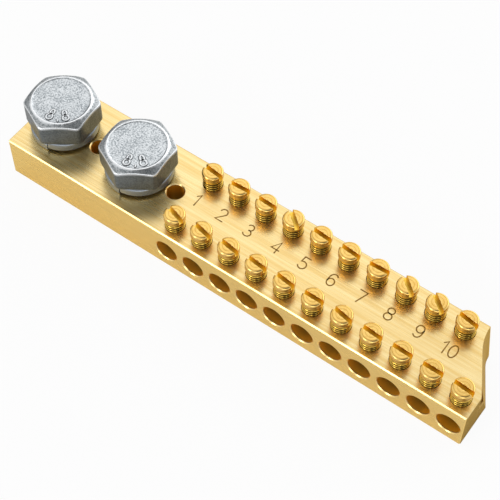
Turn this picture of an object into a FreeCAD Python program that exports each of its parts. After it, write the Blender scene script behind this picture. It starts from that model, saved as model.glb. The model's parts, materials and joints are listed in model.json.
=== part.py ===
# Earth terminal bar: a solid brass bar, cross-drilled for eleven wires that slotted screws clamp
# from above, with two hex bolts on spring washers for the main earth leads and two fixing holes.
# Millimetres, +Z up. The origin is under the middle of the bar, on the face that it sits on.
import FreeCAD, Part
import math
import os
import re
import Sketcher
from FreeCAD import Placement, Rotation, Vector

SIZES = {
    # The bar: its section, and places along it measured from its left end.
    "bar_depth": 24.0,
    "bar_height": 12.5,
    "edge_break": 0.3,
    "first_terminal_x": 50.0,
    "terminal_pitch": 8.0,
    "terminal_count": 11,
    "last_terminal_margin": 4.0,
    # The wire tunnels, drilled from the front face through to the back. The last one is blind,
    # because the corner is cut off behind it, and so it has no back screw.
    "tunnel_radius": 3.1,
    "tunnel_axis_height": 5.9,
    "last_tunnel_depth": 7.0,
    "drill_point_angle": 118.0,
    "hole_mouth_break": 0.25,
    # The two rows of tapped screw holes over the tunnels.
    "front_row_inset": 4.2,
    "back_row_inset": 4.5,
    "thread_clearance": 0.1,
    # The back right corner, cut off by a wall that leans out towards its foot. It starts straight, at
    # an angle to the end of the bar, and bends to meet the back face squarely. A small ledge is sunk
    # where it starts.
    "cut_start_at_top": 6.4,
    "cut_angle_at_top": 29.5,
    "cut_bend_radius_at_top": 14.0,
    "cut_start_at_foot": 11.7,
    "cut_angle_at_foot": 30.5,
    "cut_bend_radius_at_foot": 6.0,
    "ledge_height": 6.8,
    "ledge_length": 2.8,
    # The main bolts and the fixing holes, by turns along the middle line of the bar.
    "first_bolt_x": 9.0,
    "bolt_spacing": 24.0,
    "bolt_count": 2,
    "first_fixing_x": 20.0,
    "fixing_spacing": 24.0,
    "fixing_count": 2,
    "fixing_hole_radius": 2.25,
    # One slotted terminal screw, and how far the two rows stand out of the bar.
    "screw_length": 9.2,
    "screw_thread_radius": 2.5,
    "screw_tip_break": 0.5,
    "screw_head_radius": 2.7,
    "screw_head_height": 1.9,
    "screw_rim_break": 0.4,
    "slot_width": 1.1,
    "slot_depth": 1.4,
    "front_screw_rise": 4.6,
    "back_screw_rise": 5.0,
    # One hex bolt.
    "bolt_thread_radius": 5.0,
    "bolt_length": 14.0,
    "bolt_tip_break": 0.9,
    "bolt_head_flats": 17.0,
    "bolt_head_height": 7.0,
    "bolt_crown_radius": 7.6,
    "bolt_crown_angle": 30.0,
    # One spring washer: a flat section wound into a turn that rises, so that its ends stand apart.
    "washer_clearance": 0.2,
    "washer_width": 3.5,
    "washer_thickness": 2.5,
    "washer_rise": 0.9,
    "washer_gap_angle": 4.0,
}

# How far each slot, hex head and washer is turned from the length of the bar, in degrees.
FRONT_SLOT_TURNS = (-17, -12, -8, -6, -7, 0, -11, -4, -2, 0, -4)
BACK_SLOT_TURNS = (-6, 3, -3, -39, -5, -5, 3, -40, -39, -9)
HEX_TURNS = {"left": 35, "right": 34}
WASHER_TURNS = {"left": -82, "right": -88}

# How far a cutting shape reaches past the face that it cuts.
PAST = 1.0

BAR_LENGTH = "(first_terminal_x + (terminal_count - 1) * terminal_pitch + last_terminal_margin)"
THROUGH_COUNT = "(terminal_count - 1)"
WASHER_BORE = "(bolt_thread_radius + washer_clearance)"

doc = FreeCAD.newDocument("earth_terminal_bar")
sheet = doc.addObject("Spreadsheet::Sheet", "Sizes")
for row, (alias, number) in enumerate(SIZES.items(), start=1):
    sheet.set(f"A{row}", alias.replace("_", " "))
    sheet.set(f"B{row}", str(number))
    sheet.setAlias(f"B{row}", alias)
doc.recompute()


def in_sheet(formula):
    """A formula with the name of each size turned into the name of its cell."""
    return re.sub("[a-z_]+", lambda word: f"Sizes.{word[0]}" if word[0] in SIZES else word[0], str(formula))


def bind(target, path, formula):
    """Ties a property or a constraint to a formula of sizes."""
    target.setExpression(path, in_sheet(formula))


def worth(formula):
    """The number that a formula of sizes comes to."""
    return float(sheet.evalExpression(str(formula)))


def new_body(label):
    """An empty body, labelled with the name of its sub-part."""
    body = doc.addObject("PartDesign::Body", label)
    body.Label = label
    return body


def place(body, along, across, up, turn=0):
    """Stands a body on the bar, at a point given from the bar's left end, front face and foot."""
    body.Placement = Placement(Vector(), Rotation(Vector(0, 0, 1), turn))
    bind(body, "Placement.Base.x", f"{along} - {BAR_LENGTH} / 2")
    bind(body, "Placement.Base.y", f"{across} - bar_depth / 2")
    bind(body, "Placement.Base.z", up)


def new_sketch(body, name, plane, origin=(0, 0, 0)):
    """An empty sketch on an origin plane of its body, its own origin moved along its own axes."""
    sketch = body.newObject("Sketcher::SketchObject", name)
    support = next(part for part in body.Origin.OriginFeatures if part.Role == plane)
    sketch.AttachmentSupport = [(support, "")]
    sketch.MapMode = "FlatFace"
    for axis, formula in zip("xyz", origin):
        bind(sketch, f"AttachmentOffset.Base.{axis}", formula)
    return sketch


def hold_point(sketch, geometry, point, corner):
    """Holds one end of a line or arc at a corner, a pair of formulas from the sketch's origin."""
    for kind, formula in zip(("DistanceX", "DistanceY"), corner):
        datum = sketch.addConstraint(Sketcher.Constraint(kind, -1, 1, geometry, point, worth(formula)))
        bind(sketch, f"Constraints[{datum}]", formula)


def draw_outline(sketch, corners, arc_side=None):
    """Draws a closed outline, counterclockwise through its corners. The side that starts at corner
    number arc_side, if there is one, is an arc that runs smoothly into the side after it."""
    points = [Vector(worth(first), worth(second), 0) for first, second in corners]
    count = len(points)
    for side, start in enumerate(points):
        end = points[(side + 1) % count]
        line = Part.LineSegment(start, end)
        if side == arc_side:
            chord = end - start
            turn = chord.getAngle(points[(side + 2) % count] - end)
            bow = Vector(chord.y, -chord.x, 0) * math.tan(turn / 2) / 2
            line = Part.Arc(start, (start + end) / 2 + bow, end)
        sketch.addGeometry(line)
        hold_point(sketch, side, 1, corners[side])
    for side in range(count):
        joint = "Tangent" if side == arc_side else "Coincident"
        sketch.addConstraint(Sketcher.Constraint(joint, side, 2, (side + 1) % count, 1))


def draw_circle(sketch, radius):
    """Draws a circle round the sketch's origin."""
    circle = sketch.addGeometry(Part.Circle(Vector(), Vector(0, 0, 1), worth(radius)))
    sketch.addConstraint(Sketcher.Constraint("Coincident", circle, 3, -1, 1))
    datum = sketch.addConstraint(Sketcher.Constraint("Radius", circle, worth(radius)))
    bind(sketch, f"Constraints[{datum}]", radius)


def add_feature(body, kind, name, profile, **formulas):
    """A feature of the body made from a profile, with each property given as a formula."""
    feature = body.newObject(f"PartDesign::{kind}", name)
    feature.Profile = profile
    for path, formula in formulas.items():
        bind(feature, path, formula)
    return feature


def spin(body, kind, name, sketch):
    """A Revolution or a Groove of a half section, all the way round its sketch's upright axis."""
    feature = add_feature(body, kind, name, sketch, Angle=360)
    feature.ReferenceAxis = (sketch, ["V_Axis"])
    return feature


def repeat(body, feature, count, spacing):
    """Repeats the last cut of the body along its length."""
    pattern = body.newObject("PartDesign::LinearPattern", f"{feature.Name}Row")
    axis = next(part for part in body.Origin.OriginFeatures if part.Role == "X_Axis")
    pattern.Originals = [feature]
    pattern.Direction = (axis, [""])
    bind(pattern, "Length", f"({count} - 1) * {spacing}")
    bind(pattern, "Occurrences", count)
    body.Tip = pattern


def drill(body, name, plane, origin, radius, depth, blind=False):
    """Cuts a round hole of the given depth, with its mouths broken. It goes through, or it is blind
    and ends in the cone of the drill's point."""
    sketch = new_sketch(body, f"{name}Sketch", plane, origin)
    flare = f"{radius} + hole_mouth_break + {PAST}"
    far_end = [
        (radius, f"{depth} - hole_mouth_break"),
        (flare, f"{depth} + {PAST}"),
        (0, f"{depth} + {PAST}"),
    ]
    if blind:
        far_end = [(radius, depth), (0, f"{depth} + {radius} / tan(drill_point_angle / 2)")]
    draw_outline(sketch, [(0, -PAST), (flare, -PAST), (radius, "hole_mouth_break")] + far_end)
    return spin(body, "Groove", name, sketch)


def tap(body, name, across, count):
    """Cuts a row of tapped holes from the top of the bar into the wire tunnels."""
    sketch = new_sketch(body, f"{name}Sketch", "XY_Plane", ("first_terminal_x", across, "bar_height"))
    draw_circle(sketch, "screw_thread_radius + thread_clearance")
    hole = add_feature(body, "Pocket", name, sketch, Length="bar_height - tunnel_axis_height")
    repeat(body, hole, count, "terminal_pitch")


def draw_cut(body, name, height, level):
    """The outline of the corner cut at the foot or the top of the bar. Returns the sketch."""
    start = f"cut_start_at_{level}"
    angle = f"cut_angle_at_{level}"
    radius = f"cut_bend_radius_at_{level}"
    bend_y = f"(bar_depth - {radius} * sin({angle}))"
    bend_x = f"({BAR_LENGTH} - ({bend_y} - {start}) * tan({angle}))"
    back_x = f"{bend_x} - {radius} * (1 - cos({angle}))"
    sketch = new_sketch(body, name, "XY_Plane", (0, 0, height))
    draw_outline(sketch, [
        (back_x, f"bar_depth + {PAST}"),
        (back_x, "bar_depth"),
        (bend_x, bend_y),
        (f"{BAR_LENGTH} + {PAST}", f"{start} - {PAST} / tan({angle})"),
        (f"{BAR_LENGTH} + {PAST}", f"bar_depth + {PAST}"),
    ], arc_side=1)
    return sketch


def cut_corner(body):
    """Cuts the back right corner off, and sinks the ledge at the start of the cut."""
    wall = add_feature(body, "SubtractiveLoft", "CornerCut", draw_cut(body, "CutAtFoot", 0, "foot"))
    wall.Sections = [draw_cut(body, "CutAtTop", "bar_height", "top")]
    wall.Ruled = True
    ledge_end = "cut_start_at_top + ledge_length"
    ledge = new_sketch(body, "LedgeSketch", "XY_Plane", (0, 0, "bar_height"))
    draw_outline(ledge, [
        (f"{BAR_LENGTH} + {PAST}", f"cut_start_at_top - {PAST} / tan(cut_angle_at_top)"),
        (f"{BAR_LENGTH} + {PAST}", ledge_end),
        (f"{BAR_LENGTH} - ledge_length * tan(cut_angle_at_top)", ledge_end),
    ])
    add_feature(body, "Pocket", "Ledge", ledge, Length="bar_height - ledge_height")


def make_bar():
    """The bar, drawn from its left end, front face and foot."""
    body = new_body("terminal_bar")
    section = new_sketch(body, "BarSketch", "XY_Plane")
    draw_outline(section, [(0, 0), (BAR_LENGTH, 0), (BAR_LENGTH, "bar_depth"), (0, "bar_depth")])
    block = add_feature(body, "Pad", "Block", section, Length="bar_height")
    edges = body.newObject("PartDesign::Chamfer", "BrokenEdges")
    edges.Base = (block, [""])
    edges.UseAllEdges = True
    bind(edges, "Size", "edge_break")
    cut_corner(body)
    mouth = ("first_terminal_x", 0, "tunnel_axis_height")
    tunnel = drill(body, "WireTunnel", "XY_Plane", mouth, "tunnel_radius", "bar_depth")
    repeat(body, tunnel, THROUGH_COUNT, "terminal_pitch")
    last_mouth = (f"{BAR_LENGTH} - last_terminal_margin", 0, "tunnel_axis_height")
    drill(body, "LastTunnel", "XY_Plane", last_mouth, "tunnel_radius", "last_tunnel_depth", blind=True)
    tap(body, "FrontScrewHole", "front_row_inset", "terminal_count")
    tap(body, "BackScrewHole", "bar_depth - back_row_inset", THROUGH_COUNT)
    for name, first, radius, count, spacing in (
        ("BoltHole", "first_bolt_x", "bolt_thread_radius + thread_clearance", "bolt_count", "bolt_spacing"),
        ("FixingHole", "first_fixing_x", "fixing_hole_radius", "fixing_count", "fixing_spacing"),
    ):
        hole = drill(body, name, "XZ_Plane", (first, 0, "-bar_depth / 2"), radius, "bar_height")
        repeat(body, hole, count, spacing)
    place(body, 0, 0, 0)


def make_screw(label, along, across, rise, turn):
    """One slotted terminal screw, drawn from its tip, with its slot along X."""
    body = new_body(label)
    section = new_sketch(body, f"{label}_section", "XZ_Plane")
    head_foot = "screw_length - screw_head_height"
    draw_outline(section, [
        (0, 0),
        ("screw_thread_radius - screw_tip_break", 0),
        ("screw_thread_radius", "screw_tip_break"),
        ("screw_thread_radius", head_foot),
        ("screw_head_radius", head_foot),
        ("screw_head_radius", "screw_length - screw_rim_break"),
        ("screw_head_radius - screw_rim_break", "screw_length"),
        (0, "screw_length"),
    ])
    spin(body, "Revolution", f"{label}_turned", section)
    mouth = new_sketch(body, f"{label}_slot_mouth", "XY_Plane", (0, 0, "screw_length"))
    half_length = f"screw_head_radius + {PAST}"
    draw_outline(mouth, [
        (f"-({half_length})", "-slot_width / 2"),
        (half_length, "-slot_width / 2"),
        (half_length, "slot_width / 2"),
        (f"-({half_length})", "slot_width / 2"),
    ])
    add_feature(body, "Pocket", f"{label}_slot", mouth, Length="slot_depth")
    place(body, along, across, f"bar_height + {rise} - screw_length", turn)


def make_bolt(label, along, turn):
    """One hex bolt, drawn from under its head."""
    body = new_body(label)
    shank = new_sketch(body, f"{label}_shank_section", "XZ_Plane")
    draw_outline(shank, [
        (0, "-bolt_length"),
        ("bolt_thread_radius - bolt_tip_break", "-bolt_length"),
        ("bolt_thread_radius", "bolt_tip_break - bolt_length"),
        ("bolt_thread_radius", 0),
        (0, 0),
    ])
    spin(body, "Revolution", f"{label}_shank", shank)
    corner_radius = "bolt_head_flats / 2 / cos(30)"
    hexagon = new_sketch(body, f"{label}_hexagon", "XY_Plane")
    draw_outline(hexagon, [
        (f"{corner_radius} * cos({angle})", f"{corner_radius} * sin({angle})") for angle in range(0, 360, 60)
    ])
    add_feature(body, "Pad", f"{label}_head", hexagon, Length="bolt_head_height")
    rim = f"({corner_radius} + {PAST})"
    crown = new_sketch(body, f"{label}_crown_section", "XZ_Plane")
    draw_outline(crown, [
        ("bolt_crown_radius", "bolt_head_height"),
        (rim, f"bolt_head_height - ({rim} - bolt_crown_radius) * tan(bolt_crown_angle)"),
        (rim, "bolt_head_height"),
    ])
    spin(body, "Groove", f"{label}_crown", crown)
    place(body, along, "bar_depth / 2", "bar_height + washer_thickness + washer_rise", turn)


def make_washer(label, along, turn):
    """One spring washer, drawn from its lower end, wound the way that holds a right-hand bolt."""
    body = new_body(label)
    section = new_sketch(body, f"{label}_section", "XZ_Plane")
    outside = f"{WASHER_BORE} + washer_width"
    draw_outline(section, [
        (WASHER_BORE, 0),
        (outside, 0),
        (outside, "washer_thickness"),
        (WASHER_BORE, "washer_thickness"),
    ])
    coil = add_feature(body, "AdditiveHelix", f"{label}_coil", section)
    coil.ReferenceAxis = (section, ["V_Axis"])
    coil.Mode = "height-turns-angle"
    coil.LeftHanded = True
    bind(coil, "Height", "washer_rise")
    bind(coil, "Turns", "(360 - washer_gap_angle) / 360")
    place(body, along, "bar_depth / 2", "bar_height", turn)


def check_model():
    """Stops if an object failed, a cut took nothing away or a sub-part isn't one valid solid."""
    for thing in doc.Objects:
        if "Invalid" in thing.State or "Error" in thing.State:
            raise RuntimeError(f"{thing.Label} failed: {thing.State}")
        cuts = thing.isDerivedFrom("PartDesign::Pocket") or thing.isDerivedFrom("PartDesign::Groove")
        cuts = cuts or thing.isDerivedFrom("PartDesign::SubtractiveLoft")
        cuts = cuts or thing.isDerivedFrom("PartDesign::LinearPattern")
        if cuts and not thing.Shape.Volume < thing.BaseFeature.Shape.Volume - 0.01:
            raise RuntimeError(f"{thing.Label} cut nothing")
    for body in doc.findObjects("PartDesign::Body"):
        if body.Shape.isNull() or not body.Shape.isValid() or len(body.Shape.Solids) != 1:
            raise RuntimeError(f"{body.Label} is not one valid solid")


make_bar()
for number in range(SIZES["terminal_count"]):
    turn = FRONT_SLOT_TURNS[number % len(FRONT_SLOT_TURNS)]
    spot = f"first_terminal_x + {number} * terminal_pitch"
    make_screw(f"terminal_screw_front_{number + 1:02d}", spot, "front_row_inset", "front_screw_rise", turn)
for number in range(SIZES["terminal_count"] - 1):
    turn = BACK_SLOT_TURNS[number % len(BACK_SLOT_TURNS)]
    spot = f"first_terminal_x + {number} * terminal_pitch"
    back_row = "bar_depth - back_row_inset"
    make_screw(f"terminal_screw_back_{number + 1:02d}", spot, back_row, "back_screw_rise", turn)
for number, side in enumerate(("left", "right")):
    spot = f"first_bolt_x + {number} * bolt_spacing"
    make_bolt(f"hex_bolt_{side}", spot, HEX_TURNS[side])
    make_washer(f"spring_washer_{side}", spot, WASHER_TURNS[side])
doc.recompute()
check_model()

os.makedirs("parts", exist_ok=True)
for body in doc.findObjects("PartDesign::Body"):
    body.Shape.exportStep(f"parts/{body.Label}.step")
    print(f"{body.Label}: {body.Shape.Volume:.1f} mm3")
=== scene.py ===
"""Dresses the packed earth terminal bar: screws, hex bolts, spring washers, numbers, finishes and studio."""
import json
import math

import bpy
import numpy as np
from bpy.props import FloatProperty, FloatVectorProperty, PointerProperty
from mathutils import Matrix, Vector


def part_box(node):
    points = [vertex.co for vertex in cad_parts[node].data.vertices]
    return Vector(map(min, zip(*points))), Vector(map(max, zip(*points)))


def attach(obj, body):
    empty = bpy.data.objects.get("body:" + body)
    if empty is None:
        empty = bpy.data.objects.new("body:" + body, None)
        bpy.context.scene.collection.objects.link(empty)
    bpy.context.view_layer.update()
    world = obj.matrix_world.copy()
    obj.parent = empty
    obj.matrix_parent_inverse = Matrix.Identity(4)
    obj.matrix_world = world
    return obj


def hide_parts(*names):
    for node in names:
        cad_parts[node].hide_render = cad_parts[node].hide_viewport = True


bl_info = {
    "name": "Earth terminal bar",
    "version": (1, 0, 0),
    "blender": (4, 5, 0),
    "location": "View3D > Sidebar > Earth bar",
    "description": "Builds the screws, bolts, washers, numbers and finishes of a brass earth terminal bar",
    "category": "Object",
}

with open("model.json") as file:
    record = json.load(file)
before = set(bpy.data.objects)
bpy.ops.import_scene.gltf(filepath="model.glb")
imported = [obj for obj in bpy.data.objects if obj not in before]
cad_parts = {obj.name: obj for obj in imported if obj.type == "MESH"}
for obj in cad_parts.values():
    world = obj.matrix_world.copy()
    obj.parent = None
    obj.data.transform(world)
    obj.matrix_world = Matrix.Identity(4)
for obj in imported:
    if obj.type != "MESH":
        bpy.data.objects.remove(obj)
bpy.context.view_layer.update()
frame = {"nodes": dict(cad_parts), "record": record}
MM = 0.001
TURN = 2 * math.pi
SAME = MM / 100  # points closer than this are level with each other
SCREW_NODES = sorted(name for name in frame["nodes"] if name.startswith("terminal_screw"))
BOLT_NODES = sorted(name for name in frame["nodes"] if name.startswith("hex_bolt"))
WASHER_NODES = sorted(name for name in frame["nodes"] if name.startswith("spring_washer"))
BACK_SCREW_NODES = [name for name in SCREW_NODES if "back" in name]

# Single strokes of the figures, in a box one unit high. A pair is a point of the stroke. Six numbers
# are an arc: its centre, its half width and half height, and its first and last angle in degrees.
FIGURES = {
    "0": [[(0.31, 0.5, 0.27, 0.5, 90, 450)]],
    "1": [[(0.12, 0.76), (0.36, 1.0), (0.36, 0.0)]],
    "2": [[(0.30, 0.72, 0.27, 0.28, 170, -25), (0.03, 0.0), (0.62, 0.0)]],
    "3": [[(0.28, 0.755, 0.24, 0.245, 150, -90), (0.28, 0.265, 0.29, 0.265, 90, -150)]],
    "4": [[(0.47, 0.0), (0.47, 1.0), (0.02, 0.30), (0.64, 0.30)]],
    "5": [[(0.56, 1.0), (0.12, 1.0), (0.08, 0.56), (0.28, 0.31, 0.30, 0.31, 110, -150)]],
    "6": [[(0.34, 0.60, 0.30, 0.40, 45, 180), (0.31, 0.30, 0.27, 0.30, 180, 540)]],
    "7": [[(0.02, 1.0), (0.60, 1.0), (0.24, 0.0)]],
    "8": [[(0.31, 0.76, 0.25, 0.24, -90, 270), (0.31, 0.27, 0.28, 0.27, 90, -270)]],
    "9": [[(0.28, 0.40, 0.30, 0.40, 225, 360), (0.31, 0.70, 0.27, 0.30, 0, 360)]],
    ".": [[(0.10, 0.02), (0.10, 0.06)]],
}
# From one figure's left to the next one's, and the part of that which is the gap between them.
FIGURE_STEP = {"1": 0.62, ".": 0.3}
FIGURE_STEP_ELSE = 0.86
FIGURE_GAP = 0.24

# Marks per metre along each axis: the brushing of the bar, fine and coarse, and the clouds in it.
FINE_BRUSHING = (60.0, 5200.0, 5200.0)
COARSE_BRUSHING = (18.0, 1100.0, 1100.0)
CLOUDS = (60.0, 140.0, 140.0)

# The tint of what brass reflects at a low angle, and the painted shade, near black, in the hidden corners of
# zinc plate.
BRASS_GLANCE = (1.0, 0.80, 0.42)
ZINC_SHADE = (0.03, 0.035, 0.04)

# Points round a turned piece and round a bolt's head, and rows of points in one turn of a thread.
ROUND_POINTS = 56
HEAD_POINTS = 180
THREAD_ROWS = 14

# Where each bolt's strength grade stands, as an angle in degrees, and the seed of its forging dents.
GRADE_MARKS = ((-60.5, 11), (-58.0, 18))

# A bolt's crown from its rim inwards: millimetres from the rim, and how much of its depth is reached.
CROWN_STEPS = ((0.02, 0.06), (0.2, 0.0), (0.34, 0.12), (0.46, 0.55), (0.58, 0.92), (0.75, 1.0))
CROWN_ANGLE = 30.0

# Dark flags and bright panels of the studio, each a direction, how much it darkens or brightens, and
# the angles in degrees within which it is full and beyond which it is gone.
STUDIO_PATCHES = (
    ((0.46, -0.19, 0.87), -0.85, 17.0, 33.0),
    ((-0.90, 0.40, 0.17), -0.65, 10.0, 30.0),
    ((-0.33, -0.83, 0.45), 5.5, 6.0, 15.0),
    ((0.57, -0.82, 0.07), 3.0, 8.0, 22.0),
    ((0.20, 0.96, 0.17), 1.1, 20.0, 45.0),
)


def length(name, description, millimetres):
    """A length that a user can change, given in millimetres and kept in metres."""
    return FloatProperty(name=name, description=description, default=millimetres * MM, precision=5,
                         subtype="DISTANCE", unit="LENGTH")


def angle(name, description, degrees):
    """An angle that a user can change, given in degrees and kept in radians."""
    return FloatProperty(name=name, description=description, default=math.radians(degrees),
                         subtype="ANGLE", unit="ROTATION")


def colour(name, description, red, green, blue):
    """A linear colour that a user can change."""
    return FloatVectorProperty(name=name, description=description, default=(red, green, blue), size=3,
                               min=0.0, max=1.0, subtype="COLOR")


def amount(name, description, value, unit="NONE"):
    """A number that a user can change, with its unit where it has one."""
    return FloatProperty(name=name, description=description, default=value, unit=unit)


class EarthBarScrews(bpy.types.PropertyGroup):
    """Sizes of the slotted terminal screws that the packed solids leave plain."""
    pitch: length("Thread pitch", "Rise of the thread in one turn", 0.8)
    depth: length("Thread depth", "From the thread's crest to its root", 0.49)
    rim: length("Rim rounding", "Radius of the turned edge of the head", 0.5)
    lip: length("Slot edge break", "Radius of the edge along the slot", 0.12)


class EarthBarBolts(bpy.types.PropertyGroup):
    """Sizes of the hex bolts and spring washers that the packed solids leave plain."""
    pitch: length("Thread pitch", "Rise of the thread in one turn", 1.5)
    depth: length("Thread depth", "From the thread's crest to its root", 0.9)
    corner: length("Corner rounding", "How far the hexagon's corners are rounded back", 0.22)
    forging: length("Forging marks", "Height of the dents that forging leaves on the head", 0.07)
    sunk: length("Crown depth", "How far the round crown is sunk inside its rim", 0.16)
    mark_height: length("Figure height", "Height of the raised strength grade", 3.2)
    mark_stroke: length("Figure stroke", "Width of the raised lines at their foot", 0.88)
    mark_lean: angle("Figure spacing", "Angle from the grade's point to a figure beside it", 21.0)
    washer_edge: length("Washer edge", "Radius of the spring washer's long edges", 0.5)
    washer_spring: length("Washer ends", "How far each end of the spring washer reaches into its gap", 0.2)


class EarthBarNumbers(bpy.types.PropertyGroup):
    """Sizes and places of the terminal numbers on the top face."""
    height: length("Height", "Height of a figure", 3.5)
    stroke: length("Stroke", "Width of the marked line", 0.33)
    left: length("To the left", "From the screw's middle back to the number's middle", 0.45)
    front: length("To the front", "From the back screws' middle forward to the number's middle", 6.4)


class EarthBarColours(bpy.types.PropertyGroup):
    """Colours of the finishes, linear."""
    bar: colour("Bar", "Brushed brass on top of the bar", 0.96, 0.77, 0.39)
    bar_deep: colour("Bar streaks", "Deeper colour in the brushing", 0.84, 0.59, 0.22)
    # Sides: painted shade that makes the bar's sides deeper in colour than its top.
    side: colour("Sides", "Drawn brass on the sides of the bar", 0.95, 0.70, 0.29)
    # Bores and deep bores: painted shade inside the drilled holes, darker further down them.
    bore: colour("Bores", "Dull brass inside the drilled holes", 0.92, 0.46, 0.015)
    bore_deep: colour("Deep bores", "Dark brass further down the drilled holes", 0.45, 0.25, 0.015)
    # Cut corner: painted shade, darker than the bar; the cut corner is also rougher.
    cut: colour("Cut corner", "Duller brass on the cut corner", 0.55, 0.37, 0.125)
    # End faces: painted shade, much darker than the top.
    ends: colour("End faces", "Dark brass on the two end faces", 0.33, 0.21, 0.06)
    screw: colour("Screws", "Turned brass of the terminal screws", 0.93, 0.63, 0.20)
    turned: colour("Turning marks", "Deeper colour between the turning marks", 0.58, 0.30, 0.04)
    # Slots: painted shade and reflection inside the slots of the screws, and a painted reflection of the
    # brass bar on the stems.
    slot: colour("Slots", "Deep brass in the slots of the screws", 0.94, 0.60, 0.085)
    # Slot middles: painted shade, darkest halfway along each slot.
    slot_deep: colour("Slot middles", "Darker brass halfway along the slots", 0.50, 0.31, 0.045)
    # Thread roots: painted shade, near black, in the roots of the threads.
    root: colour("Thread roots", "Dark brass in the roots of the threads", 0.05, 0.02, 0.003)
    zinc: colour("Bolts", "Zinc plate of the hex bolts", 0.68, 0.71, 0.73)
    zinc_dark: colour("Bolt blemishes", "Dull patches in the zinc plate", 0.26, 0.29, 0.31)
    # Bolt flats: painted shade, near black, on the flats and part of the cone.
    zinc_side: colour("Bolt flats", "Zinc plate on the flats of the hex bolts", 0.065, 0.075, 0.072)
    # Bolt edges: painted highlight, near white, on the bolts' edges and raised figures.
    zinc_worn: colour("Bolt edges", "Bright edges of the hex bolts", 0.93, 0.95, 0.97)
    washer: colour("Washers", "Zinc plate of the spring washers", 0.27, 0.30, 0.33)
    number: colour("Numbers", "Marked lines of the terminal numbers", 0.10, 0.045, 0.006)


class EarthBarStage(bpy.types.PropertyGroup):
    """Camera and studio light."""
    azimuth: angle("Azimuth", "Direction of the camera's look, from the front round to the left", 35.81)
    elevation: angle("Elevation", "Angle of the camera above the horizon", 56.0)
    distance: length("Distance", "From the camera to the point it looks at", 325.64)
    aim_x: length("Aim along", "Point that the camera looks at, along the bar", 1.39)
    aim_y: length("Aim across", "Point that the camera looks at, across the bar", -2.49)
    aim_z: length("Aim up", "Point that the camera looks at, above the seating face", 11.0)
    lens: amount("Lens", "Focal length in millimetres on a 36 mm sensor", 97.85, "CAMERA")
    world: amount("World", "Brightness of the studio all round", 0.85)
    key: amount("Key lamp", "Power of the large lamp behind the bar, in watts", 0.22, "POWER")


class Value:
    """A socket of a node. Python's operators on it add Math nodes, and so do their reflected forms."""

    def __init__(self, nodes, socket):
        self.nodes = nodes
        self.socket = socket

    def output(self, name):
        """Another output of the same node."""
        return Value(self.nodes, self.socket.node.outputs[name])

    def __add__(self, other):
        return self.nodes.maths("ADD", self, other)

    def __radd__(self, other):
        return self.nodes.maths("ADD", other, self)

    def __sub__(self, other):
        return self.nodes.maths("SUBTRACT", self, other)

    def __rsub__(self, other):
        return self.nodes.maths("SUBTRACT", other, self)

    def __mul__(self, other):
        return self.nodes.maths("MULTIPLY", self, other)

    def __rmul__(self, other):
        return self.nodes.maths("MULTIPLY", other, self)

    def __truediv__(self, other):
        return self.nodes.maths("DIVIDE", self, other)

    def __rtruediv__(self, other):
        return self.nodes.maths("DIVIDE", other, self)

    def __pow__(self, other):
        return self.nodes.maths("POWER", self, other)

    def __rpow__(self, other):
        return self.nodes.maths("POWER", other, self)

    def __lt__(self, other):
        return self.nodes.maths("LESS_THAN", self, other)

    def __gt__(self, other):
        return self.nodes.maths("GREATER_THAN", self, other)

    def __abs__(self):
        return self.nodes.maths("ABSOLUTE", self)


class Nodes:
    """The node tree of a finish, a floor or the world."""

    def __init__(self, owner):
        owner.use_nodes = True
        self.tree = owner.node_tree
        self.tree.nodes.clear()

    def add(self, kind, settings=None, sockets=None, output=0):
        """Adds a node of a type, sets it, fills its sockets with values or links, and gives one output."""
        node = self.tree.nodes.new(kind)
        for name, setting in (settings or {}).items():
            setattr(node, name, setting)
        for name, content in (sockets or {}).items():
            socket = node.inputs[name]
            if isinstance(content, Value):
                self.tree.links.new(content.socket, socket)
            elif socket.type == "RGBA":
                socket.default_value = (*tuple(content)[:3], 1.0)
            else:
                socket.default_value = content
        return Value(self, node.outputs[output]) if node.outputs else None

    def maths(self, operation, *values):
        """A Math node of the operation on the values."""
        return self.add("ShaderNodeMath", {"operation": operation}, dict(enumerate(values)))

    def mix(self, share, first, second):
        """The first colour where the share is 0 and the second where it is 1."""
        return self.add("ShaderNodeMix", {"data_type": "RGBA"}, {0: share, 6: first, 7: second}, output=2)

    def ease(self, value, low, high):
        """0 where the value is at low or beyond, 1 at high or beyond, and a smooth step between them."""
        return self.add("ShaderNodeMapRange", {"interpolation_type": "SMOOTHSTEP"},
                        {"Value": value, "From Min": low, "From Max": high})

    def noise(self, place, stretch, detail=2.0, roughness=0.5):
        """Noise whose marks per metre along each axis are the stretch."""
        place = self.add("ShaderNodeMapping", sockets={"Vector": place, "Scale": stretch})
        return self.add("ShaderNodeTexNoise", sockets={
            "Vector": place, "Scale": 1.0, "Detail": detail, "Roughness": roughness})

    def split(self, vector):
        """The three coordinates of a vector."""
        parts = self.add("ShaderNodeSeparateXYZ", sockets={"Vector": vector})
        return parts, parts.output("Y"), parts.output("Z")

    def place(self):
        """The point on the piece, in metres."""
        return self.add("ShaderNodeTexCoord", output="Object")

    def mark(self, name):
        """The values that a piece's points carry under a name."""
        return self.add("ShaderNodeAttribute", {"attribute_name": name}, output="Fac")

    def bump(self, height, strength, distance):
        """A normal tilted by the slope of a height."""
        return self.add("ShaderNodeBump", sockets={
            "Height": height, "Strength": strength, "Distance": distance})

    def metal(self, tint, roughness, normal, metallic=1.0, glance=(1.0, 1.0, 1.0)):
        """Closes the tree with a metal, or with a duller coat where it is less metallic. The glance tints
        what it reflects at a low angle."""
        shader = self.add("ShaderNodeBsdfPrincipled", sockets={
            "Base Color": tint, "Metallic": metallic, "Roughness": roughness, "Normal": normal,
            "Specular Tint": glance})
        self.add("ShaderNodeOutputMaterial", sockets={"Surface": shader})


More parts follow.
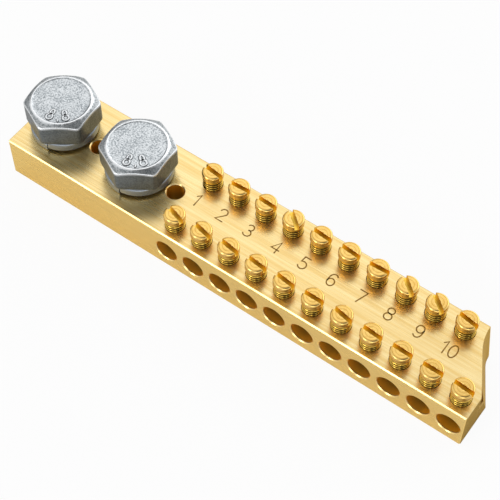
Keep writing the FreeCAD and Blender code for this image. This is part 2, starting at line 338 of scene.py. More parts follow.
def wire_tunnels():
    """Where the wire tunnels are: the first one's place along the bar, their spacing, their number, the
    height of their axes, the radius of their mouths in the front face, and how far back the last goes."""
    record = frame["record"]
    boxes = [opening["box_m"] for opening in record["physics"]["openings"]]
    first, second = [(low[0] + high[0]) / 2 for low, high in boxes[:2]]
    height = next(mount for mount in record["mounts"] if mount["name"] == "wire_terminals")["pos_m"][2]
    points = node_points("terminal_bar")
    face = points[points[:, 1] < points[:, 1].min() + SAME]
    mouth = np.hypot(face[:, 0] - first, face[:, 2] - height).min()
    return first, second - first, len(boxes), height, mouth, boxes[-1][1][1] + 2 * MM


def make_bar_finish(colours):
    """Brass brushed along the bar: fine and coarse streaks along X move its colour, gloss and relief.
    Painted shade makes the sides deeper in colour than the top, the walls of the drilled holes deeper still
    and darker further in, and the cut corner and the end faces darker; the cut corner is also rougher."""
    first, spacing, count, height, mouth, last_end = wire_tunnels()
    holes = next(mount for mount in frame["record"]["mounts"] if mount["name"] == "fixing_holes")
    gap = holes["dims"]["spacing_x_mm"]
    low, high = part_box("terminal_bar")
    finish = bpy.data.materials.new("brushed_brass")
    nodes = Nodes(finish)
    place = nodes.place()
    x, y, z = nodes.split(place)
    fine = nodes.noise(place, FINE_BRUSHING, 3.0, 0.6)
    coarse = nodes.noise(place, COARSE_BRUSHING, 2.0)
    cloud = nodes.noise(place, CLOUDS, 3.0)
    streak = fine * 0.5 + coarse * 0.5
    tint = nodes.mix(nodes.ease(streak, 0.36, 0.64) * 0.95, colours.bar, colours.bar_deep)
    tint = nodes.mix(nodes.ease(cloud, 0.45, 0.75) * 0.2, tint, colours.bar_deep)
    # Painted shade: the faces below the top take the deeper side colour.
    painted_side_shade = nodes.ease(z, high[2] - 0.25 * MM, high[2] - 0.45 * MM)
    tint = nodes.mix(painted_side_shade * 0.85, tint, colours.side)

    along = nodes.maths("WRAP", (x - first) / MM, spacing / MM / 2, -spacing / MM / 2)
    off_axis = nodes.maths("SQRT", along ** 2.0 + ((z - height) / MM) ** 2.0)
    behind_face = nodes.ease(abs(y) / MM, high[1] / MM - 0.2, high[1] / MM - 0.7)
    tunnels = nodes.ease(off_axis, mouth / MM + 0.15, mouth / MM - 0.1) * behind_face
    before_last = x < first + (count - 1.5) * spacing
    tunnels = tunnels * (x > first - spacing / 2) * nodes.maths("MAXIMUM", before_last, y < last_end)
    along = nodes.maths("WRAP", (x - holes["pos_m"][0]) / MM + gap / 2, gap / 2, -gap / 2)
    off_axis = nodes.maths("SQRT", along ** 2.0 + (y / MM) ** 2.0)
    radius = holes["dims"]["hole_r_mm"]
    fixing = nodes.ease(off_axis, radius + 0.3, radius + 0.1)
    fixing = fixing * (x < first - spacing / 2) * (z < high[2] - 0.4 * MM)
    inside = nodes.maths("MAXIMUM", tunnels, fixing)
    # Painted shade in the wire tunnels and fixing holes, growing further into each hole.
    tunnel_shade = nodes.ease(abs(y), high[1] - 0.5 * MM, high[1] - 4.5 * MM) * tunnels
    fixing_hole_shade = nodes.ease(z, high[2] - 0.5 * MM, high[2] - 6.0 * MM) * fixing
    depth = nodes.maths("MAXIMUM", tunnel_shade, fixing_hole_shade)
    within = (abs(y) < high[1] - 0.2 * MM) * (z < high[2] - 0.2 * MM)
    # Painted shade on the cut corner, varied by the clouds; its extra roughness is set below.
    cut = nodes.ease(x, high[0] - 11.2 * MM, high[0] - 11.0 * MM) * within
    # Painted shade on both end faces, varied slightly by the clouds.
    ends = (abs(x) > high[0] - 0.05 * MM) * within
    tint = nodes.mix(cut * (0.6 + cloud * 0.7), tint, colours.cut)
    tint = nodes.mix(ends * (0.7 + cloud * 0.3), tint, colours.ends)
    # The walls of the holes take the painted bore shade.
    tint = nodes.mix(inside * 0.9, tint, nodes.mix(depth, colours.bore, colours.bore_deep))
    roughness = 0.16 + fine * 0.18 + cloud * 0.08 + inside * 0.25 + cut * 0.12
    relief = nodes.bump(streak, 0.3, 0.03 * MM)
    nodes.metal(tint, roughness, relief, 1.0 - inside * 0.15, BRASS_GLANCE)
    return finish


def make_screw_finish(colours):
    """Turned brass: rings round the screw's own axis in its UV map, the slot's colour where the slot
    attribute rises, as painted shade in the slots and a painted reflection of the brass bar on the stems,
    and the thread root's colour as painted shade where the depth attribute does."""
    finish = bpy.data.materials.new("turned_brass")
    nodes = Nodes(finish)
    plan = nodes.add("ShaderNodeUVMap", {"uv_map": "plan"})
    x, y, _ = nodes.split(plan)
    depth, slot = nodes.mark("depth"), nodes.mark("slot")
    radius = nodes.maths("SQRT", x ** 2.0 + y ** 2.0)
    outwards = nodes.add("ShaderNodeCombineXYZ", sockets={"X": radius})
    rings = nodes.noise(outwards, (2.6, 1.0, 1.0), 1.0, 0.6)
    speck = nodes.noise(nodes.place(), (900.0,) * 3, 2.0)
    between = nodes.ease(rings * 0.85 + speck * 0.15, 0.42, 0.62)
    tint = nodes.mix(between * 0.8, colours.screw, colours.turned)
    # Painted shade in the slots: the slot colour, then darker towards the middle of each slot.
    tint = nodes.mix(nodes.ease(slot, 0.0, 0.5), tint, colours.slot)
    tint = nodes.mix(nodes.ease(slot, 0.5, 1.0) * 0.9, tint, colours.slot_deep)
    # Painted shade darkens the thread roots.
    tint = nodes.mix(nodes.ease(depth, 0.0, 0.6), tint, colours.root)
    roughness = 0.12 + rings * 0.14 + speck * 0.08 + depth * 0.12
    nodes.metal(tint, roughness, nodes.bump(rings + speck * 0.2, 0.5, 0.06 * MM))
    return finish


def make_zinc_finish(name, light, dark, side, worn, mottle):
    """Zinc plate: fine specks of two greys with pits, painted shade in the side colour where the side
    attribute rises, a bright painted highlight on the edges where their attribute does, and near black
    painted shade where the depth attribute does. The mottle is the share of the darker grey."""
    finish = bpy.data.materials.new(name)
    nodes = Nodes(finish)
    place = nodes.place()
    specks = nodes.noise(place, (2600.0,) * 3, 2.0, 0.6)
    patches = nodes.noise(place, (300.0,) * 3, 3.0, 0.6)
    pits = nodes.noise(place, (1500.0,) * 3, 1.0)
    depth, flat, edge = nodes.mark("depth"), nodes.mark("side"), nodes.mark("worn")
    dull = nodes.ease(specks * 0.75 + patches * 0.25, 0.42, 0.62) * mottle
    tint = nodes.mix(dull, light, dark)
    tint = nodes.mix(nodes.ease(pits, 0.36, 0.26) * mottle, tint, dark)
    # Painted shade on the bolt's flats and cone, where the side mark rises.
    tint = nodes.mix(flat * 0.85, tint, side)
    # Painted highlight on the bolts' edges.
    tint = nodes.mix(edge, tint, worn)
    # Painted shade, near black, in the hidden corners.
    tint = nodes.mix(nodes.ease(depth, 0.0, 0.45), tint, ZINC_SHADE)
    roughness = 0.18 + specks * 0.22 + depth * 0.3 - edge * 0.1 + flat * 0.1
    relief = nodes.bump(specks - nodes.ease(pits, 0.45, 0.25) * 0.8, 0.35, 0.06 * MM)
    nodes.metal(tint, roughness, relief, 1.0 - flat * 0.3)
    return finish


def make_number_finish(colours):
    """Dark lines of the marked numbers, with a slight random change of tone."""
    finish = bpy.data.materials.new("marked_lines")
    nodes = Nodes(finish)
    shade = nodes.noise(nodes.place(), (1500.0,) * 3, 2.0)
    # The lines vary at random towards the bore colour.
    tint = nodes.mix(shade * 0.5, colours.number, colours.bore)
    shader = nodes.add("ShaderNodeBsdfPrincipled", sockets={
        "Base Color": tint, "Metallic": 0.3, "Roughness": 0.45 + shade * 0.2})
    nodes.add("ShaderNodeOutputMaterial", sockets={"Surface": shader})
    return finish


def skin(grid, first, last):
    """A closed surface over a grid of points (rows, columns, 3): each row runs round on itself, and the
    first and the last point close the two ends with fans. Gives points, four-sided faces and fans."""
    rows, columns, _ = grid.shape
    index = np.arange(rows * columns).reshape(rows, columns)
    right = np.roll(index, -1, axis=1)
    quads = np.stack([index[:-1], right[:-1], right[1:], index[1:]], axis=-1).reshape(-1, 4)
    start, end = np.full(columns, rows * columns), np.full(columns, rows * columns + 1)
    fans = np.vstack([np.stack([right[0], index[0], start], axis=-1),
                      np.stack([index[-1], right[-1], end], axis=-1)])
    return np.vstack([grid.reshape(-1, 3), first, last]), quads, fans


def join(*skins):
    """Several skins as one, each keeping its own points."""
    starts = np.cumsum([0] + [len(points) for points, _, _ in skins])
    return (np.vstack([points for points, _, _ in skins]),
            np.vstack([quads + start for (_, quads, _), start in zip(skins, starts)]),
            np.vstack([fans + start for (_, _, fans), start in zip(skins, starts)]))


def put(name, surface, finish, plan=None, marks=None, sharp=35.0):
    """A new object from a skin, shaded smooth up to an angle, with its plan as a UV map and its marks as
    attributes of its points."""
    points, quads, fans = surface
    mesh = bpy.data.meshes.new(name)
    corners = np.concatenate([quads.ravel(), fans.ravel()])
    sizes = np.concatenate([np.full(len(quads), 4), np.full(len(fans), 3)])
    mesh.vertices.add(len(points))
    mesh.vertices.foreach_set("co", points.astype(np.float32).ravel())
    mesh.loops.add(len(corners))
    mesh.loops.foreach_set("vertex_index", corners.astype(np.int32))
    mesh.polygons.add(len(sizes))
    mesh.polygons.foreach_set("loop_start", (np.cumsum(sizes) - sizes).astype(np.int32))
    mesh.update(calc_edges=True)
    mesh.shade_smooth()
    mesh.set_sharp_from_angle(angle=math.radians(sharp))
    if plan is not None:
        layer = mesh.uv_layers.new(name="plan")
        layer.data.foreach_set("uv", plan[corners].astype(np.float32).ravel())
    for mark, values in (marks or {}).items():
        mesh.attributes.new(mark, "FLOAT", "POINT").data.foreach_set("value", values.astype(np.float32))
    mesh.materials.append(finish)
    piece = bpy.data.objects.new(name, mesh)
    bpy.context.scene.collection.objects.link(piece)
    return piece


def node_points(node):
    """The points of a packed node's mesh."""
    mesh = frame["nodes"][node].data
    points = np.empty(len(mesh.vertices) * 3, np.float32)
    mesh.vertices.foreach_get("co", points)
    return points.reshape(-1, 3).astype(float)


def turned(heights, radii, angles):
    """Rings round Z: each row is a circle at its height, with its own radius at each angle."""
    radii = np.broadcast_to(radii, (len(heights), len(angles)))
    heights = np.broadcast_to(np.asarray(heights)[:, None], radii.shape)
    return np.stack([radii * np.cos(angles), radii * np.sin(angles), heights], axis=-1)


def thread_radius(heights, angles, crest, depth, pitch, plain_from):
    """The radius of a right-hand thread: a wave along the height that climbs one pitch each turn, with
    sloping sides cut off flat at the crest and root, fading to the crest over the last turn."""
    root, flank = 0.2, 0.62
    phase = (heights[:, None] / pitch - angles[None, :] / TURN) % 1.0
    wave = np.clip((1.0 - np.abs(2.0 * phase - 1.0) - root) / flank, 0.0, 1.0)
    fade = np.clip((plain_from - heights[:, None]) / pitch, 0.0, 1.0)
    return crest - depth * (1.0 - wave) * fade


def make_screw(node, finish, sizes):
    """A terminal screw. Its stem is turned rings: tip chamfer, thread and collar up to the slot's floor.
    On it stand the two halves of the head, D-shaped outlines that step up and inwards along a quarter
    circle, so that the rim is round and the slot's walls follow it."""
    points = node_points(node)
    low, high = points.min(axis=0), points.max(axis=0)
    middle = (low + high) / 2 * (1, 1, 0)
    levels = np.unique(np.round(points[:, 2], 5))
    bare = np.diff(levels).argmax()
    chamfer, collar, floor = levels[bare:bare + 3]
    tip, top = levels[0], high[2]
    across = points - middle
    reach = np.hypot(across[:, 0], across[:, 1])
    crest = reach[np.abs(points[:, 2] - chamfer) < SAME].max()
    radius = reach.max()
    on_floor = across[np.abs(points[:, 2] - floor) < SAME][:, :2]
    along = np.linalg.svd(on_floor, full_matrices=False)[2][0]
    half_slot = np.abs(on_floor @ (-along[1], along[0])).max()
    turn = math.atan2(along[1], along[0])

    angles = np.arange(ROUND_POINTS) * TURN / ROUND_POINTS
    heights = np.arange(tip, collar, sizes.pitch / THREAD_ROWS)
    heights[-1] = collar
    radii = thread_radius(heights, angles, crest, sizes.depth, sizes.pitch, collar - 0.25 * MM)
    radii = np.minimum(radii, crest - (chamfer - tip) + (heights - tip)[:, None])
    bevel = 0.12 * MM
    neck = np.array([(collar, radius - bevel), (collar + bevel, radius), (floor - bevel, radius),
                     (floor, radius - 0.02 * MM), (floor, radius - 0.05 * MM)])
    stem = np.vstack([turned(heights, radii, angles), turned(neck[:, 0], neck[:, 1:], angles)])
    shells = [skin(stem, (0, 0, tip), (0, 0, floor))]
    # Painted shade in the thread roots: the deeper the root, the darker its mark.
    roots = ((crest - radii) / sizes.depth).clip(0, 1) ** 0.7
    painted_crease_shade = [np.concatenate([roots.ravel(), np.zeros(len(neck) * len(angles)), [0.5, 0.0]])]
    # Painted reflection of the brass bar: the thread and neck take part of the slot colour; the ring at the
    # slot's floor takes all of it as painted shade.
    slots = [np.concatenate([np.full(roots.size, 0.35), np.full((len(neck) - 1) * len(angles), 0.2),
                             np.full(len(angles), 0.5), [0, 1]])]

    bend = np.linspace(0, math.pi / 2, 8)
    inset = np.concatenate([[0.0, 0.0], 1 - np.cos(bend)])
    rise = np.concatenate([[0.0, 0.0], np.sin(bend)])
    arc_radius = radius - sizes.rim * inset
    arc_radius[0] -= 0.03 * MM
    wall = half_slot + sizes.lip * inset
    start = np.arcsin(wall / arc_radius)
    share = np.linspace(0, 1, 33)
    sweep = start[:, None] + (math.pi - 2 * start)[:, None] * share
    arc = np.stack([arc_radius[:, None] * np.cos(sweep), arc_radius[:, None] * np.sin(sweep)], axis=-1)
    share = np.linspace(-1, 1, 19)[1:-1]
    along_wall = arc[:, :1, 0] * share
    chord = np.stack([along_wall, np.broadcast_to(wall[:, None], along_wall.shape)], axis=-1)
    outline = np.concatenate([arc, chord], axis=1)
    reach = np.hypot(outline[..., 0], outline[..., 1])
    over = np.clip((reach - (radius - sizes.rim)) / sizes.rim, 0, 1)
    rim_height = top - sizes.rim * (1 - np.sqrt(1 - over ** 2))
    edge = np.concatenate([np.full(arc.shape[1], sizes.rim), np.full(chord.shape[1], sizes.lip)])
    height = np.minimum(top - edge * (1 - rise[:, None]), rim_height)
    height[0] = floor - 0.05 * MM
    height[1] = floor
    lug = np.concatenate([outline, height[..., None]], axis=-1)
    heart = np.array([0.0, (half_slot + radius) / 2, top])
    inner = [lug[-1] * (1 - s) + heart * s for s in (0.25, 0.6)]
    lug = np.concatenate([lug, np.stack(inner)])
    # Painted shade in the slots: full on the slot's walls, darkest at the middle, fading over the lip.
    slot_shade = np.zeros(lug.shape[:2])
    slot_shade[:3, arc.shape[1]:] = 1.0 - 0.5 * np.abs(share) ** 1.5
    slot_shade[3, arc.shape[1]:] = 0.2
    for side in (1, -1):
        half = lug * (side, side, 1)
        foot = heart * (side, side, 0) + (0, 0, floor - 0.05 * MM)
        shells.append(skin(half, foot, heart * (side, side, 1)))
        slots.append(np.concatenate([slot_shade.ravel(), [1.0, 0.0]]))
        painted_crease_shade.append(np.zeros(slots[-1].size))

    points, quads, fans = join(*shells)
    plan = points[:, :2] / MM
    c, s = math.cos(turn), math.sin(turn)
    points = points @ np.array([[c, s, 0], [-s, c, 0], [0, 0, 1]]) + middle
    marks = {"depth": np.concatenate(painted_crease_shade), "slot": np.concatenate(slots)}
    piece = put(node.replace("terminal_", ""), (points, quads, fans), finish, plan, marks)
    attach(piece, node.replace("terminal_", ""))
    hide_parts(node)


def smooth_noise(x, y, seed, cells, size):
    """Soft bumps between -1 and 1: random heights on a square net of cells, joined by smooth steps."""
    net = np.random.default_rng(seed).uniform(-1, 1, (cells + 1, cells + 1))
    u = np.clip((x / size + 0.5) * cells, 0, cells - 1e-6)
    v = np.clip((y / size + 0.5) * cells, 0, cells - 1e-6)
    i, j = u.astype(int), v.astype(int)
    fu, fv = u - i, v - j
    fu, fv = fu * fu * (3 - 2 * fu), fv * fv * (3 - 2 * fv)
    low = net[i, j] * (1 - fu) + net[i + 1, j] * fu
    high = net[i, j + 1] * (1 - fu) + net[i + 1, j + 1] * fu
    return low * (1 - fv) + high * fv


def figure_paths(text, height):
    """The strokes of a text as smooth paths, in metres, from its lower left, and the text's width."""
    paths, left = [], 0.0
    for letter in text:
        for stroke in FIGURES[letter]:
            path = []
            for item in stroke:
                if len(item) == 2:
                    path.append(np.array([item], float))
                else:
                    cx, cy, rx, ry, first, last = item
                    steps = max(6, int(abs(last - first) / 14))
                    sweep = np.radians(np.linspace(first, last, steps))
                    path.append(np.stack([cx + rx * np.cos(sweep), cy + ry * np.sin(sweep)], axis=-1))
            paths.append((np.vstack(path) + (left, 0)) * height)
        left += FIGURE_STEP.get(letter, FIGURE_STEP_ELSE)
    return paths, (left - FIGURE_GAP) * height


def wrap(path, radius, middle):
    """A flat path bent round an arc: across becomes the angle from the middle, and up goes inwards."""
    angles = middle + path[:, 0] / radius
    reach = radius - path[:, 1]
    return np.stack([reach * np.cos(angles), reach * np.sin(angles)], axis=-1)


def ribbon(path, width, low, high, crest=1.0):
    """A thin closed strip along a flat path, mitred at corners, with ends that narrow in a half circle.
    Its section is as wide as the stroke at the foot, and the crest is the share of that at the top."""
    path = path[np.concatenate([[True], np.linalg.norm(np.diff(path, axis=0), axis=1) > width / 50])]
    run = np.diff(path, axis=0)
    run /= np.linalg.norm(run, axis=1)[:, None]
    lead = width / 2 * np.cos(np.linspace(0, math.pi / 2, 5))[:, None]
    path = np.vstack([path[0] - run[0] * lead, path[1:-1], path[-1] + run[-1] * lead[::-1]])
    run = np.diff(path, axis=0)
    run /= np.linalg.norm(run, axis=1)[:, None]
    before, after = np.vstack([run[:1], run]), np.vstack([run, run[-1:]])
    side = before + after
    side /= np.linalg.norm(side, axis=1)[:, None]
    spread = 1 / np.clip((side * before).sum(axis=1), 0.6, 1)
    side = np.stack([-side[:, 1], side[:, 0]], axis=-1)
    half = np.full(len(path), width / 2) * spread
    half[:5] = width / 2 * np.maximum(np.sin(np.linspace(0, math.pi / 2, 5)), 0.05)
    half[-5:] = half[:5][::-1]
    edge = side * half[:, None]
    rim = edge * crest
    corners = [(path + edge, low), (path - edge, low), (path - rim, high), (path + rim, high)]
    grid = np.stack([np.column_stack([flat, np.full(len(flat), level)]) for flat, level in corners], axis=1)
    return skin(grid, grid[0].mean(axis=0), grid[-1].mean(axis=0))


def make_bolt(node, finish, sizes, towards, seed):
    """A hex bolt. Its head is rings whose radius is the hexagon's at each angle, cut off by a cone to
    the round crown, which is sunk inside its rim, and its shank is turned rings with a thread. Soft noise
    dents the head, and raised figures stand along the rim, on the side towards the given angle."""
    points = node_points(node)
    top, tip = points[:, 2].max(), points[:, 2].min()
    spread = points[:, :2] - (points[:, :2].min(axis=0) + points[:, :2].max(axis=0)) / 2
    reach = np.hypot(spread[:, 0], spread[:, 1])
    under = points[reach > reach.max() - SAME][:, 2].min()
    middle = np.append(points[points[:, 2] < tip + SAME][:, :2].mean(axis=0), 0)
    across = points - middle
    reach = np.hypot(across[:, 0], across[:, 1])
    far = across[reach > reach.max() - SAME][0]
    turn = math.atan2(far[1], far[0])
    flats = reach.max() * math.cos(math.radians(30))
    crown = reach[points[:, 2] > top - SAME].max()
    slope = math.tan(math.radians(CROWN_ANGLE))
    stem = reach[points[:, 2] < under - MM / 2].max()

    angles = np.arange(HEAD_POINTS) * TURN / HEAD_POINTS
    from_corner = (angles + TURN / 12) % (TURN / 6) - TURN / 12
    hexagon = flats / np.cos(TURN / 12 - np.abs(from_corner))
    corner = flats / math.cos(TURN / 12) - sizes.corner
    soft = 0.12 * MM
    hexagon = -soft * np.logaddexp(-hexagon / soft, -corner / soft)
    round_ring = np.zeros(len(angles))
    shoulder = top - np.maximum(hexagon - crown, 0) * slope
    foot = 0.25 * MM
    edge = under + foot
    rows = [(round_ring + stem * 0.98, round_ring + under), (hexagon - foot, round_ring + under),
            (hexagon - foot * 0.3, round_ring + under + foot * 0.3), (hexagon, round_ring + edge)]
    rows += [(hexagon, edge + (shoulder - 0.08 * MM - edge) * share) for share in np.linspace(0.15, 1, 8)]
    for share in np.linspace(0.06, 1, 7):
        radius = hexagon + (crown + 0.1 * MM - hexagon) * share
        rows.append((radius, top - (radius - crown) * slope - 0.02 * MM * share))
    for inset, drop in CROWN_STEPS:
        rows.append((round_ring + crown - inset * MM, round_ring + top - drop * sizes.sunk))
    floor = top - sizes.sunk
    rows += [(round_ring + crown * share, round_ring + floor)
             for share in (0.82, 0.7, 0.56, 0.42, 0.28, 0.14)]
    radii = np.stack([row[0] for row in rows])
    heights = np.stack([row[1] for row in rows])
    head = np.stack([radii * np.cos(angles), radii * np.sin(angles), heights], axis=-1)
    dent = smooth_noise(head[..., 0], head[..., 1], seed, 16, 22 * MM)
    dent += 0.6 * smooth_noise(head[..., 1], head[..., 0], seed + 1, 34, 22 * MM)
    face = (heights > under + 1.2 * MM) * (heights - under) / (top - under)
    head[..., 2] += np.minimum(dent * sizes.forging * 0.5 * face, top - heights)
    radial = 1 + dent * sizes.forging * 0.35 / crown * (heights < shoulder - 0.5 * MM)
    head[..., :2] *= radial[..., None]

    around = np.arange(ROUND_POINTS) * TURN / ROUND_POINTS
    levels = np.arange(tip, under + 0.3 * MM, sizes.pitch / THREAD_ROWS)
    winding = thread_radius(levels, around, stem, sizes.depth, sizes.pitch, under)
    winding = np.minimum(winding, stem - 0.9 * MM + (levels - tip)[:, None])
    shank = turned(levels, winding, around)
    shells = [skin(head, (0, 0, under), (0, 0, floor)),
              skin(shank, (0, 0, tip), (0, 0, under + 0.3 * MM))]
    # Rows 3 to 11 of the head are the hexagon's sides, 12 to 18 its cone, and 19 on its crown.
    # Painted shade: the flats take the dark flat colour fully, and the cone's lower rows take it in part.
    flat = np.zeros(heights.shape)
    flat[3:12] = 1.0
    flat[12:17] = 0.45
    # Painted highlight: the top edge of the hexagon and the crown's rim, and the raised figures at half
    # strength.
    worn = np.zeros(heights.shape)
    worn[11:13] = 0.7
    worn[18:21] = 1.0
    sides = [np.append(flat.ravel(), [0, 0]), np.zeros(len(shells[1][0]))]
    edges = [np.append(worn.ravel(), [0, 0]), np.zeros(len(shells[1][0]))]
    painted_crease_shade = [np.zeros(len(shells[0][0])), np.zeros(len(shells[1][0]))]
    for letter, lean in zip("8.8", (-1, 0, 1)):
        paths, width = figure_paths(letter, sizes.mark_height)
        for path in paths:
            middle_angle = towards + lean * sizes.mark_lean - turn
            path = wrap(path - (width / 2, 0), crown - 1.05 * MM, middle_angle)
            mark = ribbon(path, sizes.mark_stroke, floor - 0.05 * MM, top, 0.38)
            shells.append(mark)
            # Painted shade at the feet of the raised figures, where they meet the sunk crown.
            painted_crease_shade.append((mark[0][:, 2] < floor).astype(float))
            sides.append(np.zeros(len(mark[0])))
            # The raised figures take half the painted highlight.
            edges.append(np.full(len(mark[0]), 0.5))
    points, quads, fans = join(*shells)
    c, s = math.cos(turn), math.sin(turn)
    points = points @ np.array([[c, s, 0], [-s, c, 0], [0, 0, 1]]) + middle
    marks = {"depth": np.concatenate(painted_crease_shade), "side": np.concatenate(sides),
             "worn": np.concatenate(edges)}
    name = node.replace("hex_bolt", "lead_bolt")
    piece = put(name, (points, quads, fans), finish, marks=marks, sharp=50.0)
    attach(piece, "bar")
    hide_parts(node)


def make_washer(node, finish, sizes):
    """A spring washer: a rectangle with rounded edges carried round a left-hand helix, one turn less
    the gap, and closed flat at both ends."""
    points = node_points(node)
    low, high = points.min(axis=0), points.max(axis=0)
    middle = np.append((low[:2] + high[:2]) / 2, 0)
    across = points - middle
    reach = np.hypot(across[:, 0], across[:, 1])
    inner, outer = reach.min(), reach.max()
    at_foot = across[points[:, 2] < low[2] + SAME / 2]
    first = math.atan2(at_foot[:, 1].mean(), at_foot[:, 0].mean())
    at_top = across[points[:, 2] > high[2] - SAME / 2]
    last = math.atan2(at_top[:, 1].mean(), at_top[:, 0].mean())
    sweep = -((first - last) % TURN)
    angles = np.arctan2(across[:, 1], across[:, 0])
    thickness = np.ptp(points[np.abs(np.exp(1j * angles) - np.exp(1j * first)) < 0.02, 2])
    rise = high[2] - low[2] - thickness
    edge = sizes.washer_edge
    turns = np.linspace(0, TURN, 33)[:-1] + TURN / 64
    half = np.array([(outer - inner) / 2, thickness / 2])
    section = np.stack([np.cos(turns), np.sin(turns)], axis=-1)
    corner = np.sign(section) * (half - edge)
    section = corner + edge * section
    spring = sizes.washer_spring / outer
    share = np.linspace(0, 1, 97)
    angles = np.linspace(first + spring, first + sweep - spring, len(share))
    radii = (inner + outer) / 2 + section[None, :, 0]
    heights = low[2] + thickness / 2 + rise * share[:, None] + section[None, :, 1]
    grid = np.stack([radii * np.cos(angles)[:, None], radii * np.sin(angles)[:, None], heights], axis=-1)
    first_end, last_end = grid[0].mean(axis=0), grid[-1].mean(axis=0)
    points, quads, fans = skin(grid[::-1], last_end, first_end)
    marks = {"side": np.full(len(points), 0.8)}
    surface = points + middle, quads[:, ::-1], fans[:, ::-1]
    piece = put(node, surface, finish, marks=marks, sharp=40.0)
    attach(piece, "bar")
    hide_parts(node)


class EARTHBAR_OT_dress_bar(bpy.types.Operator):
    """Gives the packed brass bar its brushed finish"""
    bl_idname = "earthbar.dress_bar"
    bl_label = "Dress the bar"

    def execute(self, context):
        bar = frame["nodes"]["terminal_bar"]
        finish = make_bar_finish(context.scene.earthbar_colours)
        for slot in bar.material_slots:
            slot.material = finish
        return {"FINISHED"}


class EARTHBAR_OT_build_screws(bpy.types.Operator):
    """Builds the slotted terminal screws of both rows"""
    bl_idname = "earthbar.build_screws"
    bl_label = "Build the terminal screws"

    def execute(self, context):
        finish = make_screw_finish(context.scene.earthbar_colours)
        for node in SCREW_NODES:
            make_screw(node, finish, context.scene.earthbar_screws)
        return {"FINISHED"}


class EARTHBAR_OT_build_bolts(bpy.types.Operator):
    """Builds the two hex bolts of the main leads"""
    bl_idname = "earthbar.build_bolts"
    bl_label = "Build the hex bolts"

    def execute(self, context):
        colours = context.scene.earthbar_colours
        finish = make_zinc_finish("zinc_bolt", colours.zinc, colours.zinc_dark, colours.zinc_side,
                                  colours.zinc_worn, 0.9)
        for node, (towards, seed) in zip(BOLT_NODES, GRADE_MARKS):
            make_bolt(node, finish, context.scene.earthbar_bolts, math.radians(towards), seed)
        return {"FINISHED"}


class EARTHBAR_OT_build_washers(bpy.types.Operator):
    """Builds the split spring washers under the bolts"""
    bl_idname = "earthbar.build_washers"
    bl_label = "Build the spring washers"

    def execute(self, context):
        colours = context.scene.earthbar_colours
        finish = make_zinc_finish("zinc_washer", colours.washer, colours.zinc_dark, colours.washer,
                                  colours.zinc_worn, 0.5)
        for node in WASHER_NODES:
            make_washer(node, finish, context.scene.earthbar_bolts)
        return {"FINISHED"}


class EARTHBAR_OT_mark_numbers(bpy.types.Operator):
    """Marks the terminal numbers on the top face, beside the back screws"""
    bl_idname = "earthbar.mark_numbers"
    bl_label = "Mark the numbers"

    def execute(self, context):
        sizes = context.scene.earthbar_numbers
        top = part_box("terminal_bar")[1][2]
        sunk, proud = 0.03 * MM, 0.015 * MM
        shells = []
        for number, node in enumerate(BACK_SCREW_NODES, start=1):
            low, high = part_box(node)
            paths, width = figure_paths(str(number), sizes.height)
            corner = np.array([(low[0] + high[0]) / 2 - sizes.left - width / 2,
                               (low[1] + high[1]) / 2 - sizes.front - sizes.height / 2])
            shells += [ribbon(path + corner, sizes.stroke, top - sunk, top + proud) for path in paths]
        finish = make_number_finish(context.scene.earthbar_colours)
        piece = put("terminal_numbers", join(*shells), finish)
        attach(piece, "bar")
        return {"FINISHED"}


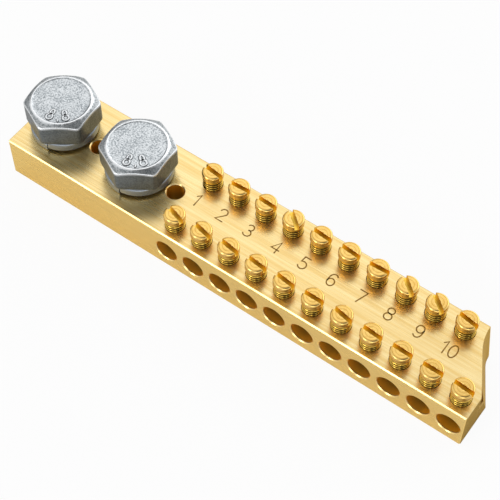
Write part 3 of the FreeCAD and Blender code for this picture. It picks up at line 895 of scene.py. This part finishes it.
class EARTHBAR_OT_set_stage(bpy.types.Operator):
    """Sets the floor, the studio light and the camera"""
    bl_idname = "earthbar.set_stage"
    bl_label = "Set the stage"

    def execute(self, context):
        scene = context.scene
        stage = scene.earthbar_stage
        scene.view_settings.view_transform = "Standard"

        half = 1.5
        corners = [(-half, -half, 0), (half, -half, 0), (half, half, 0), (-half, half, 0)]
        mesh = bpy.data.meshes.new("studio_floor")
        mesh.from_pydata(corners, [], [(0, 1, 2, 3)])
        floor_finish = bpy.data.materials.new("pale_floor")
        nodes = Nodes(floor_finish)
        paint = nodes.add("ShaderNodeBsdfDiffuse", sockets={"Color": (0.82, 0.82, 0.82)})
        white = nodes.add("ShaderNodeEmission", sockets={"Color": (1, 1, 1), "Strength": 1.0})
        seen = nodes.add("ShaderNodeLightPath", output="Is Camera Ray")
        glossy, through = seen.output("Is Glossy Ray"), seen.output("Is Transmission Ray")
        mixed = nodes.add("ShaderNodeMixShader", sockets={
            0: seen * 0.93 + glossy * 0.25 + through * 0.25, 1: paint, 2: white})
        nodes.add("ShaderNodeOutputMaterial", sockets={"Surface": mixed})
        mesh.materials.append(floor_finish)
        floor = bpy.data.objects.new("studio_floor", mesh)
        scene.collection.objects.link(floor)

        world = bpy.data.worlds.new("studio_world")
        scene.world = world
        nodes = Nodes(world)
        direction = nodes.add("ShaderNodeTexCoord", output="Generated")
        shade = 1.0
        for towards, gain, inner, outer in STUDIO_PATCHES:
            near = nodes.add("ShaderNodeVectorMath", {"operation": "DOT_PRODUCT"},
                             {0: direction, 1: towards}, output="Value")
            gone, full = math.cos(math.radians(outer)), math.cos(math.radians(inner))
            shade = shade + nodes.ease(near, gone, full) * gain
        around = nodes.add("ShaderNodeBackground", sockets={
            "Color": (1, 1, 1), "Strength": shade * stage.world})
        backdrop = nodes.add("ShaderNodeBackground", sockets={"Color": (1, 1, 1), "Strength": 1.0})
        seen = nodes.add("ShaderNodeLightPath", output="Is Camera Ray")
        mixed = nodes.add("ShaderNodeMixShader", sockets={0: seen, 1: around, 2: backdrop})
        nodes.add("ShaderNodeOutputWorld", sockets={"Surface": mixed})

        lamp = bpy.data.lights.new("key_lamp", "AREA")
        lamp.shape = "RECTANGLE"
        lamp.size = 0.5
        lamp.size_y = 0.35
        lamp.energy = stage.key
        key = bpy.data.objects.new("key_lamp", lamp)
        towards = Vector((-0.35, 0.55, 0.76))
        key.location = towards * 0.7
        key.rotation_euler = towards.to_track_quat("Z", "Y").to_euler()
        scene.collection.objects.link(key)

        camera = bpy.data.cameras.new("camera")
        camera.sensor_width = 36.0
        camera.lens = stage.lens
        camera.clip_start = 0.01
        eye = bpy.data.objects.new("camera", camera)
        level = math.cos(stage.elevation)
        looks = Vector((-math.sin(stage.azimuth) * level, math.cos(stage.azimuth) * level,
                        -math.sin(stage.elevation)))
        eye.location = Vector((stage.aim_x, stage.aim_y, stage.aim_z)) - looks * stage.distance
        eye.rotation_euler = looks.to_track_quat("-Z", "Y").to_euler()
        scene.collection.objects.link(eye)
        scene.camera = eye
        return {"FINISHED"}


class EARTHBAR_PT_panel(bpy.types.Panel):
    """Lists the steps and sizes of the earth bar"""
    bl_idname = "EARTHBAR_PT_panel"
    bl_label = "Earth bar"
    bl_space_type = "VIEW_3D"
    bl_region_type = "UI"
    bl_category = "Earth bar"

    def draw(self, context):
        for operator in OPERATORS:
            self.layout.operator(operator.bl_idname)
        for name, group in GROUPS.items():
            box = self.layout.box()
            box.label(text=group.__doc__)
            settings = getattr(context.scene, name)
            for setting in group.__annotations__:
                box.prop(settings, setting)


GROUPS = {
    "earthbar_screws": EarthBarScrews,
    "earthbar_bolts": EarthBarBolts,
    "earthbar_numbers": EarthBarNumbers,
    "earthbar_colours": EarthBarColours,
    "earthbar_stage": EarthBarStage,
}
OPERATORS = (
    EARTHBAR_OT_set_stage,
    EARTHBAR_OT_dress_bar,
    EARTHBAR_OT_build_screws,
    EARTHBAR_OT_build_bolts,
    EARTHBAR_OT_build_washers,
    EARTHBAR_OT_mark_numbers,
)


def register():
    """Registers the settings, the steps and the panel."""
    for part in (*GROUPS.values(), *OPERATORS, EARTHBAR_PT_panel):
        bpy.utils.register_class(part)
    for name, group in GROUPS.items():
        setattr(bpy.types.Scene, name, PointerProperty(type=group))


def unregister():
    """Takes the settings, the steps and the panel away again."""
    for name in GROUPS:
        delattr(bpy.types.Scene, name)
    for part in (EARTHBAR_PT_panel, *reversed(OPERATORS), *reversed(GROUPS.values())):
        bpy.utils.unregister_class(part)


def main():
    register()
    bpy.ops.earthbar.set_stage()
    bpy.ops.earthbar.dress_bar()
    bpy.ops.earthbar.build_screws()
    bpy.ops.earthbar.build_bolts()
    bpy.ops.earthbar.build_washers()
    bpy.ops.earthbar.mark_numbers()


if __name__ == "__main__":
    main()
